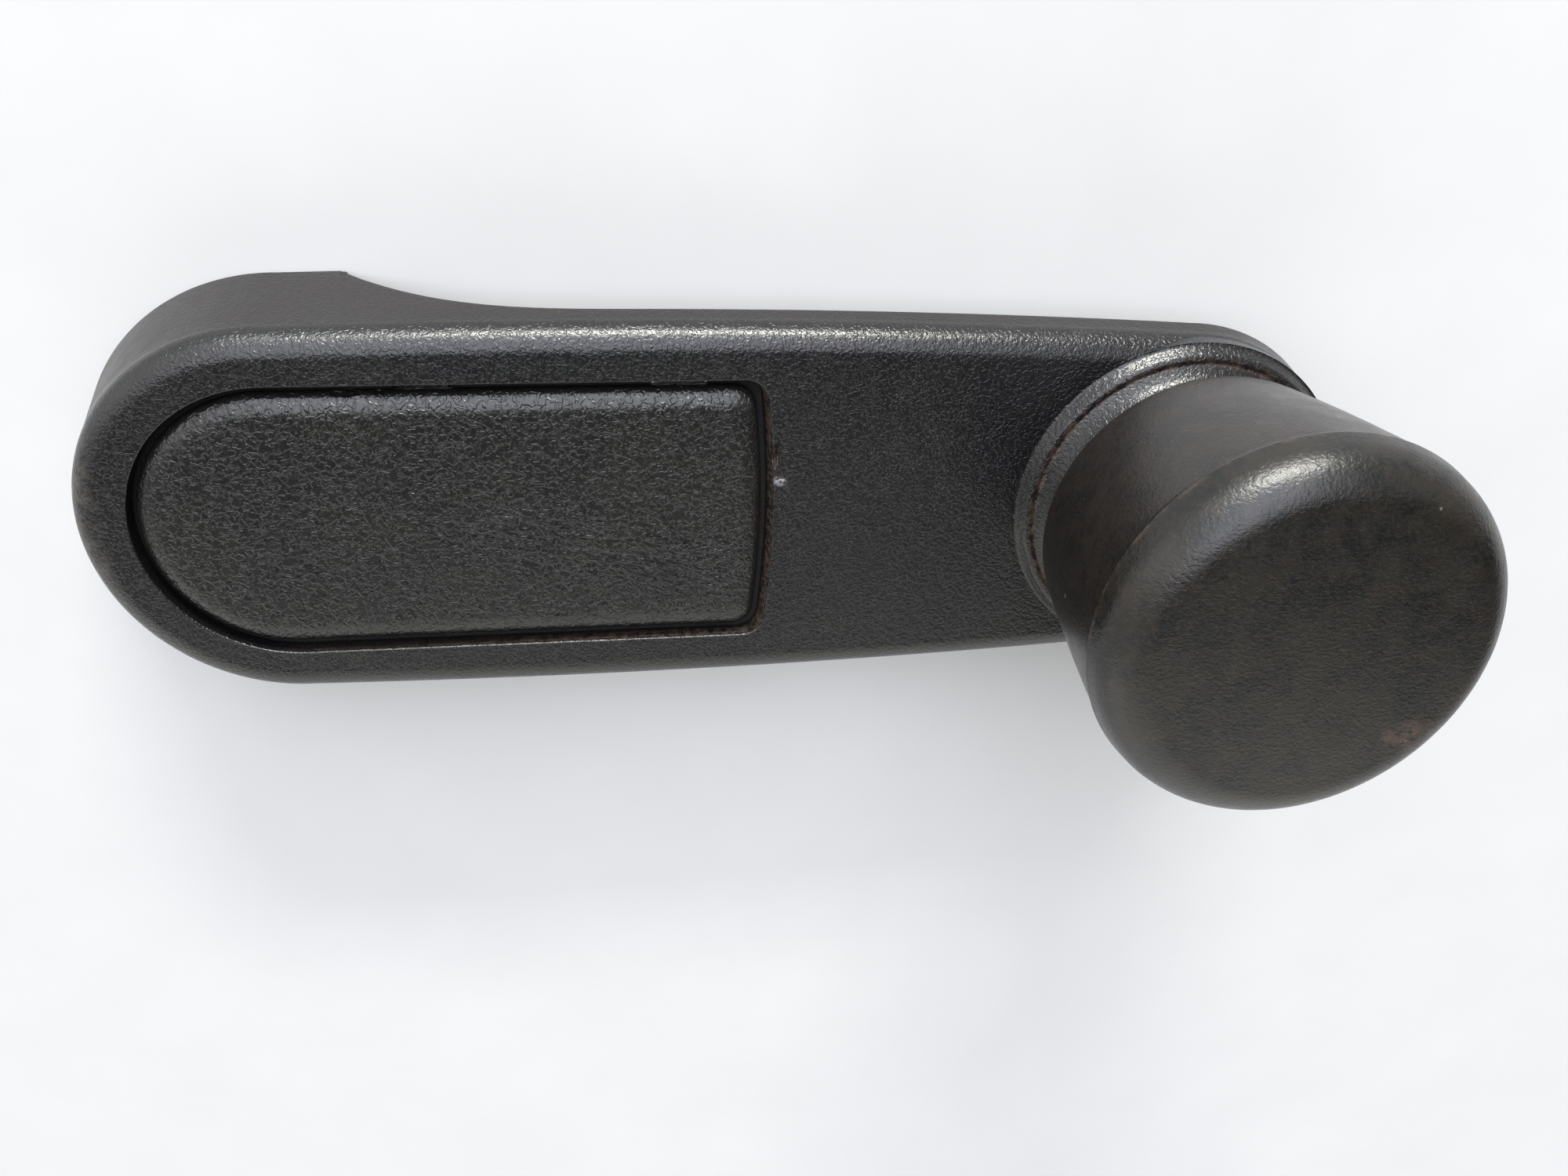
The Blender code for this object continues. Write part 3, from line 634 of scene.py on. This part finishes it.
class Shader:
    """Small helper to write a node material."""

    def __init__(self, name, **principled):
        self.mat = bpy.data.materials.new(name)
        self.mat.use_nodes = True
        self.tree = self.mat.node_tree
        self.out = self.tree.nodes["Principled BSDF"]
        for key, value in principled.items():
            self.out.inputs[key.replace("_", " ")].default_value = value
        self.coord = self.node("ShaderNodeTexCoord").outputs["Object"]

    def node(self, kind, **settings):
        made = self.tree.nodes.new(kind)
        for key, value in settings.items():
            setattr(made, key, value)
        return made

    def link(self, source, target):
        self.tree.links.new(source, target)

    def put(self, socket, value):
        if hasattr(value, "is_output"):
            self.link(value, socket)
        else:
            socket.default_value = value

    def math(self, operation, a, b=0.0, c=0.0, clamp=False):
        made = self.node("ShaderNodeMath", operation=operation, use_clamp=clamp)
        for socket, value in zip(made.inputs, (a, b, c)):
            self.put(socket, value)
        return made.outputs[0]

    def scaled(self, size, stretch=(1, 1, 1), rotation=(0, 0, 0)):
        """Object coordinates in units of size metres."""
        made = self.node("ShaderNodeMapping", vector_type="TEXTURE")
        made.inputs["Scale"].default_value = [size / s for s in stretch]
        made.inputs["Rotation"].default_value = rotation
        self.link(self.coord, made.inputs["Vector"])
        return made.outputs[0]

    def noise(self, size, detail=2.0, rough=0.5, distortion=0.0, stretch=(1, 1, 1), rotation=(0, 0, 0)):
        made = self.node("ShaderNodeTexNoise")
        made.inputs["Scale"].default_value = 1.0
        made.inputs["Detail"].default_value = detail
        made.inputs["Roughness"].default_value = rough
        made.inputs["Distortion"].default_value = distortion
        self.link(self.scaled(size, stretch, rotation), made.inputs["Vector"])
        return made.outputs["Fac"]

    def cells(self, size, feature="F1", smooth=None, warp=None, stretch=(1, 1, 1), rotation=(0, 0, 0)):
        made = self.node("ShaderNodeTexVoronoi", feature="SMOOTH_F1" if smooth is not None else feature)
        made.inputs["Scale"].default_value = 1.0
        if smooth is not None:
            made.inputs["Smoothness"].default_value = smooth
        vector = self.scaled(size, stretch, rotation)
        if warp:
            amount, warp_size = warp
            shift = self.node("ShaderNodeTexNoise")
            shift.inputs["Scale"].default_value = 1.0
            shift.inputs["Detail"].default_value = 1.0
            self.link(self.scaled(warp_size), shift.inputs["Vector"])
            mixed = self.node("ShaderNodeVectorMath", operation="MULTIPLY_ADD")
            self.link(shift.outputs["Color"], mixed.inputs[0])
            mixed.inputs[1].default_value = (amount, amount, amount)
            self.link(vector, mixed.inputs[2])
            vector = mixed.outputs[0]
        self.link(vector, made.inputs["Vector"])
        return made.outputs["Distance"]

    def remap(self, value, low, high, to_low=0.0, to_high=1.0, smooth=False):
        made = self.node("ShaderNodeMapRange", interpolation_type="SMOOTHSTEP" if smooth else "LINEAR")
        self.put(made.inputs["Value"], value)
        for name, number in (("From Min", low), ("From Max", high), ("To Min", to_low), ("To Max", to_high)):
            made.inputs[name].default_value = number
        return made.outputs[0]

    def mix(self, share, a, b):
        made = self.node("ShaderNodeMix", data_type="RGBA")
        self.put(made.inputs[0], share)
        for socket, value in ((made.inputs[6], a), (made.inputs[7], b)):
            if hasattr(value, "is_output"):
                self.link(value, socket)
            else:
                socket.default_value = (*value, 1.0)
        return made.outputs[2]

    def bump(self, height, distance, strength=1.0, below=None):
        made = self.node("ShaderNodeBump")
        made.inputs["Strength"].default_value = strength
        made.inputs["Distance"].default_value = distance
        self.put(made.inputs["Height"], height)
        if below is not None:
            self.link(below, made.inputs["Normal"])
        return made.outputs[0]

    def axes(self):
        made = self.node("ShaderNodeSeparateXYZ")
        self.link(self.coord, made.inputs[0])
        return made.outputs

    def finish(self, color=None, roughness=None, normal=None):
        if color is not None:
            self.link(color, self.out.inputs["Base Color"])
        if roughness is not None:
            self.link(roughness, self.out.inputs["Roughness"])
        if normal is not None:
            self.link(normal, self.out.inputs["Normal"])
        return self.mat


def etched(s, size, low, high, distortion=0.4, stretch=(1, 1, 1), rotation=(0, 0, 0)):
    """Flat-topped pebbles, as an etched mould leaves them."""
    return s.remap(s.noise(size, 1.5, 0.5, distortion, stretch, rotation), low, high, smooth=True)


def ring_mask(s, x, y, radius, inner, outer):
    """1 on a circle about the knob's axis, fading out between inner and outer millimetres off it."""
    dx = s.math("SUBTRACT", x, REACH * MM)
    r = s.math("SQRT", s.math("ADD", s.math("MULTIPLY", dx, dx), s.math("MULTIPLY", y, y)))
    off = s.math("ABSOLUTE", s.math("SUBTRACT", r, radius * MM))
    return s.remap(off, inner * MM, outer * MM, 1.0, 0.0)


def arm_material():
    s = Shader("arm_black_grained", IOR=1.5)
    s.out.inputs["Specular IOR Level"].default_value = 0.5
    x, y, z = s.axes()
    grain = etched(s, 0.00034, 0.40, 0.60)
    fine = s.noise(0.00017, 2.0, 0.6)
    broad = s.noise(0.011, 3.0, 0.55)
    tone = s.mix(s.remap(broad, 0.35, 0.65), (0.0036, 0.0036, 0.0046), (0.0060, 0.0060, 0.0062))
    tone = s.mix(s.remap(fine, 0.4, 0.62, 0.0, 0.35), tone, (0.012, 0.0117, 0.0112))
    # The side walls carry a thin layer of brownish dust, and the same brownish tone is also a painted reflection of the
    # surroundings.
    wall = s.remap(z, 0.0085, 0.0105, 1.0, 0.0)
    wall_dust_and_reflection = s.math("MULTIPLY", wall, s.remap(s.noise(0.006, 4.0, 0.6), 0.3, 0.7, 0.35, 0.75))
    tone = s.mix(wall_dust_and_reflection, tone, (0.0115, 0.0080, 0.0066))
    # Brownish dust in the boss's step.
    dust = ring_mask(s, x, y, BOSS_STEP_R + 0.05, 0.2, 0.5)
    dust = s.math("MULTIPLY", dust, s.remap(z, (FRONT_Z + 0.3) * MM, (FRONT_Z + 0.7) * MM))
    dust = s.math("MULTIPLY", dust, s.remap(z, (FRONT_Z + 1.25) * MM, (FRONT_Z + 1.7) * MM, 1.0, 0.0))
    dust = s.math("MULTIPLY", dust, s.remap(s.noise(0.0011, 3.0, 0.7), 0.42, 0.62, 0.1, 0.8))
    tone = s.mix(dust, tone, (0.062, 0.04, 0.03))
    # Scuffs on the rounding at the hub's tip.
    scuff = s.math("MULTIPLY", s.remap(x, -0.0172, -0.0142, 1.0, 0.0), s.remap(z, 0.0085, 0.0108))
    scuff = s.math("MULTIPLY", scuff, s.remap(s.noise(0.0018, 5.0, 0.7), 0.44, 0.60, 0.0, 0.8))
    tone = s.mix(scuff, tone, (0.085, 0.07, 0.06))
    # Inside the recess: a dull floor darkened with painted shade, brown dust along the wall, thickest at the lower far
    # corner.
    west = s.math("MINIMUM", s.math("SUBTRACT", x, 0.0003), 0.0)
    out = s.math("SQRT", s.math("ADD", s.math("MULTIPLY", west, west), s.math("MULTIPLY", y, y)))
    inside = s.remap(out, 0.01305, 0.01315, 1.0, 0.0)
    inside = s.math("MULTIPLY", inside, s.remap(x, 0.0440, 0.0441, 1.0, 0.0))
    recess_floor_painted_shade = s.math("MULTIPLY", inside, s.remap(z, 0.01015, 0.01035, 1.0, 0.0))
    tone = s.mix(recess_floor_painted_shade, tone, (0.0015, 0.0013, 0.0012))
    wall_part = s.math("MULTIPLY", inside, s.math("MULTIPLY", s.remap(z, 0.0103, 0.0108), s.remap(z, 0.01192, 0.01202, 1.0, 0.0)))
    far = s.math("MAXIMUM", s.remap(x, 0.0412, 0.0424, 0.0, 1.0), s.math("MULTIPLY", s.remap(y, -0.0125, -0.0128), s.remap(x, 0.005, 0.040, 0.25, 0.9)))
    grime = s.math("MULTIPLY", s.math("MULTIPLY", wall_part, far), s.remap(s.noise(0.0006, 4.0, 0.75), 0.40, 0.60, 0.1, 1.0))
    tone = s.mix(grime, tone, (0.034, 0.020, 0.012))
    px = s.math("DIVIDE", s.math("SUBTRACT", x, 0.0438), 0.0007)
    py = s.math("DIVIDE", s.math("SUBTRACT", y, 0.0032), 0.0005)
    bruise = s.remap(s.math("ADD", s.math("MULTIPLY", px, px), s.math("MULTIPLY", py, py)), 0.3, 1.2, 1.0, 0.0)
    bruise = s.math("MULTIPLY", bruise, s.math("MULTIPLY", s.remap(z, 0.0118, 0.0121), s.remap(s.noise(0.0004, 3.0, 0.7), 0.4, 0.55)))
    tone = s.mix(s.math("MULTIPLY", bruise, 0.8), tone, (0.22, 0.23, 0.24))
    rough = s.remap(s.noise(0.0018, 3.0, 0.6), 0.3, 0.7, 0.20, 0.27)
    rough = s.math("ADD", rough, s.math("MULTIPLY", s.math("MAXIMUM", recess_floor_painted_shade, grime), 0.6))
    rough = s.math("ADD", rough, s.math("MULTIPLY", wall_dust_and_reflection, 0.2))
    rough = s.math("ADD", rough, s.math("MULTIPLY", s.math("ADD", dust, scuff), 0.3))
    normal = s.bump(grain, 0.000026, 0.9)
    normal = s.bump(fine, 0.00002, 0.7, normal)
    return s.finish(tone, rough, normal)


def cover_material():
    s = Shader("cover_black_leathergrain", IOR=1.5)
    grain = etched(s, 0.00052, 0.38, 0.60, 0.7)
    # Longer creases run slantwise across the middle.
    creases = s.noise(0.00085, 2.0, 0.55, 0.6, (0.26, 1.25, 1), (0, 0, math.radians(-14)))
    creases = s.remap(creases, 0.40, 0.60, smooth=True)
    x, y, z = s.axes()
    off = s.math("ADD", y, s.math("MULTIPLY_ADD", x, 0.246, -0.0040))
    band = s.remap(s.math("ABSOLUTE", off), 0.0012, 0.0052, 1.0, 0.0, smooth=True)
    where = s.math("MULTIPLY", s.math("MULTIPLY", band, s.remap(x, 0.006, 0.016)), s.remap(s.noise(0.006, 2.0, 0.5), 0.38, 0.58, 0.35, 1.0))
    fine = s.noise(0.0002, 2.0, 0.6)
    tone = s.mix(s.remap(s.noise(0.009, 3.0, 0.6), 0.35, 0.65), (0.0050, 0.0050, 0.0056), (0.0085, 0.0084, 0.0078))
    tone = s.mix(s.remap(fine, 0.42, 0.62, 0.0, 0.4), tone, (0.016, 0.0155, 0.014))
    rough = s.remap(s.noise(0.0016, 3.0, 0.6), 0.3, 0.7, 0.17, 0.25)
    normal = s.bump(grain, 0.00005, 0.85)
    normal = s.bump(s.math("MULTIPLY", creases, where), 0.00005, 0.7, normal)
    normal = s.bump(fine, 0.00002, 0.7, normal)
    return s.finish(tone, rough, normal)


def knob_material():
    s = Shader("knob_black_worn", IOR=1.5)
    grain = s.noise(0.00026, 3.0, 0.65, 0.3, stretch=(0.6, 1.5, 1))
    pits = etched(s, 0.00034, 0.38, 0.62)
    x, y, z = s.axes()
    wear = s.remap(s.noise(0.0048, 5.0, 0.68, 0.4), 0.40, 0.60, smooth=True)
    tone = s.mix(wear, (0.0026, 0.0030, 0.0030), (0.0098, 0.0080, 0.0062))
    tone = s.mix(s.remap(s.noise(0.0020, 3.0, 0.6), 0.52, 0.66, 0.0, 0.6), tone, (0.0125, 0.0092, 0.0068))
    tone = s.mix(s.remap(s.noise(0.00045, 2.0, 0.6), 0.45, 0.68, 0.0, 0.40), tone, (0.020, 0.0165, 0.0128))
    # Dust settles on the flank; the head is a little paler towards its lower edge.
    flank = s.remap(z, 0.0345, 0.0358, 1.0, 0.0)
    tone = s.mix(s.math("MULTIPLY", flank, s.remap(s.noise(0.004, 4.0, 0.65), 0.35, 0.65, 0.15, 0.55)), tone, (0.0135, 0.0098, 0.0082))
    # A worn patch near the lower edge of the head.
    px = s.math("DIVIDE", s.math("SUBTRACT", x, 0.0915), 0.0030)
    py = s.math("DIVIDE", s.math("SUBTRACT", y, -0.0078), 0.0017)
    spot = s.remap(s.math("ADD", s.math("MULTIPLY", px, px), s.math("MULTIPLY", py, py)), 0.1, 1.1, 1.0, 0.0)
    spot = s.math("MULTIPLY", s.math("MULTIPLY", spot, s.remap(z, 0.0385, 0.0392)), s.remap(s.noise(0.0012, 4.0, 0.7), 0.40, 0.58))
    tone = s.mix(s.math("MULTIPLY", spot, 0.8), tone, (0.062, 0.036, 0.027))
    # The ridge is rubbed brown in places; the pale brown line along it is also a painted highlight of the edge catching
    # light.
    off = s.math("ABSOLUTE", s.math("SUBTRACT", z, 0.0357))
    ridge = s.math("MULTIPLY", s.remap(off, 0.00008, 0.00034, 1.0, 0.0), s.remap(s.noise(0.0016, 4.0, 0.7), 0.46, 0.60))
    tone = s.mix(s.math("MULTIPLY", ridge, 0.7), tone, (0.040, 0.026, 0.019))
    specks = s.remap(s.cells(0.0052), 0.03, 0.045, 1.0, 0.0)
    tone = s.mix(s.math("MULTIPLY", specks, 0.7), tone, (0.16, 0.15, 0.13))
    rough = s.remap(s.noise(0.0022, 3.0, 0.6), 0.3, 0.7, 0.25, 0.35)
    normal = s.bump(grain, 0.000030, 0.8)
    normal = s.bump(pits, 0.000012, 0.8, normal)
    return s.finish(tone, rough, normal)


def steel_material(name, color, dull=0.3, plated=True):
    s = Shader(name, Metallic=1.0)
    s.out.inputs["Metallic"].default_value = 1.0
    broad = s.noise(0.0035, 4.0, 0.6)
    fine = s.noise(0.00025, 3.0, 0.65)
    dark = tuple(c * 0.72 for c in color)
    tone = s.mix(s.remap(broad, 0.35, 0.65), color, dark)
    if plated:
        warm = (color[0] * 1.05, color[1] * 0.97, color[2] * 0.78)
        tone = s.mix(s.remap(s.noise(0.006, 2.0, 0.5), 0.5, 0.62, 0.0, 0.45), tone, warm)
    rough = s.remap(fine, 0.3, 0.7, dull, dull + 0.18)
    normal = s.bump(fine, 0.000012, 0.5)
    if not plated:
        normal = s.bump(s.cells(0.0003, smooth=0.3), 0.00005, 0.7, normal)
    return s.finish(tone, rough, normal)


def nylon_material():
    s = Shader("natural_nylon", IOR=1.53)
    s.out.inputs["Subsurface Weight"].default_value = 0.25
    s.out.inputs["Subsurface Radius"].default_value = (0.0012, 0.001, 0.0007)
    broad = s.noise(0.004, 3.0, 0.6)
    fine = s.noise(0.0003, 2.0, 0.6)
    tone = s.mix(s.remap(broad, 0.35, 0.65), (0.68, 0.66, 0.57), (0.6, 0.57, 0.47))
    rough = s.remap(fine, 0.3, 0.7, 0.36, 0.5)
    return s.finish(tone, rough, s.bump(fine, 0.000015, 0.5))


ARM_MAT, COVER_MAT, KNOB_MAT = arm_material(), cover_material(), knob_material()
ZINC = steel_material("zinc_plated_steel", (0.56, 0.55, 0.52))
SINTER = steel_material("sintered_steel", (0.34, 0.33, 0.32), 0.42, False)
BLUED = steel_material("blued_spring_steel", (0.27, 0.28, 0.31), 0.25, True)
NYLON = nylon_material()

arm = make_arm(ARM_MAT)
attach(arm, "crank")
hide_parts("crank_arm")

cover = make_cover(COVER_MAT)
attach(cover, "cover")
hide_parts("cover_cap")

knob = make_knob(KNOB_MAT)
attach(knob, "knob")
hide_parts("knob_grip")

CAD_LOOKS = {
    "spline_insert": SINTER,
    "core_plate": ZINC,
    "retaining_screw": ZINC,
    "lock_washer": BLUED,
    "knob_pin": ZINC,
    "thrust_washer": NYLON,
    "wave_washer": BLUED,
    "knob_bush": NYLON,
}
for node, look in CAD_LOOKS.items():
    mesh = frame["nodes"][node].data
    mesh.materials.clear()
    mesh.materials.append(look)

# ------------------------------------------------------------------ floor, light, camera


def floor_material():
    s = Shader("floor_paper")
    tone = s.mix(s.remap(s.noise(0.02, 3.0, 0.6), 0.3, 0.7), (0.52, 0.52, 0.517), (0.54, 0.54, 0.537))
    s.out.inputs["Specular IOR Level"].default_value = 0.2
    s.out.inputs["Roughness"].default_value = 0.7
    return s.finish(tone)


bm = bmesh.new()
bmesh.ops.create_grid(bm, x_segments=2, y_segments=2, size=1.6)
bmesh.ops.translate(bm, vec=(0.04, 0, -0.0002), verts=bm.verts)
mesh = bpy.data.meshes.new("floor")
bm.to_mesh(mesh)
bm.free()
floor = bpy.data.objects.new("floor", mesh)
mesh.materials.append(floor_material())
SCENE.collection.objects.link(floor)

world = bpy.data.worlds.new("studio")
SCENE.world = world
world.use_nodes = True
W = world.node_tree
back = W.nodes["Background"]


def w_node(kind, **settings):
    made = W.nodes.new(kind)
    for key, value in settings.items():
        setattr(made, key, value)
    return made


def w_step(value, low, high, to_low, to_high):
    made = w_node("ShaderNodeMapRange", interpolation_type="SMOOTHSTEP")
    W.links.new(value, made.inputs["Value"])
    for name, number in (("From Min", low), ("From Max", high), ("To Min", to_low), ("To Max", to_high)):
        made.inputs[name].default_value = number
    return made.outputs[0]


def w_math(operation, a, b):
    made = w_node("ShaderNodeMath", operation=operation)
    for socket, value in zip(made.inputs, (a, b)):
        if hasattr(value, "is_output"):
            W.links.new(value, socket)
        else:
            socket.default_value = value
    return made.outputs[0]


# A tall soft window on the +Y side, dark overhead, a little lighter low down on the near side.
coord = w_node("ShaderNodeTexCoord")
split = w_node("ShaderNodeSeparateXYZ")
W.links.new(coord.outputs["Generated"], split.inputs[0])
dx, dy, dz = split.outputs
window = w_math("MULTIPLY", w_step(dy, -0.05, 0.16, 0.0, 1.0), w_step(dx, -0.75, -0.1, 0.25, 1.0))
window = w_math("MULTIPLY", window, w_step(dx, 0.05, 0.52, 1.0, 0.10))
near = w_step(w_math("MULTIPLY", dy, -1.0), 0.36, 0.66, 0.06, 1.35)
near = w_math("MULTIPLY", near, w_step(dx, 0.35, 0.95, 1.0, 0.5))
left = w_step(w_math("MULTIPLY", dx, -1.0), 0.25, 0.85, 0.0, 0.55)
strength = w_math("ADD", w_math("MULTIPLY", window, 5.0), w_math("ADD", near, left))
W.links.new(strength, back.inputs["Strength"])
tint = w_node("ShaderNodeMix", data_type="RGBA")
W.links.new(window, tint.inputs[0])
tint.inputs[6].default_value = (1.0, 1.0, 0.95, 1.0)
tint.inputs[7].default_value = (0.86, 0.88, 1.0, 1.0)
W.links.new(tint.outputs[2], back.inputs["Color"])


def area(name, location, target, size, power, color=(1, 1, 1), size_y=None):
    light = bpy.data.lights.new(name, "AREA")
    light.energy = power
    light.color = color
    light.shape = "RECTANGLE"
    light.size = size
    light.size_y = size_y or size
    obj = bpy.data.objects.new(name, light)
    obj.location = location
    obj.rotation_euler = (Vector(target) - Vector(location)).to_track_quat("-Z", "Y").to_euler()
    SCENE.collection.objects.link(obj)
    return obj


area("strip", (0.07, 0.78, 0.22), (0.05, 0, 0.01), 0.36, 7.5, (1.0, 1.0, 0.88), 0.08)

data = bpy.data.cameras.new("camera")
data.sensor_width = 36.0
data.lens = 28.859
data.clip_start = 0.002
data.clip_end = 20.0
camera = bpy.data.objects.new("camera", data)
right = Vector((0.9908, 0.0321, 0.1314)).normalized()
look = Vector((0.1302, -0.4893, -0.8624)).normalized()
up = right.cross(look).normalized()
right = look.cross(up)
matrix = Matrix((right, up, -look)).transposed().to_4x4()
matrix.translation = Vector((28.33, 49.33, 112.26)) * (REACH / 80.0) * MM
camera.matrix_world = matrix
SCENE.collection.objects.link(camera)
SCENE.camera = camera
SCENE.view_settings.view_transform = "Standard"
SCENE.view_settings.look = "None"

bpy.context.view_layer.update()
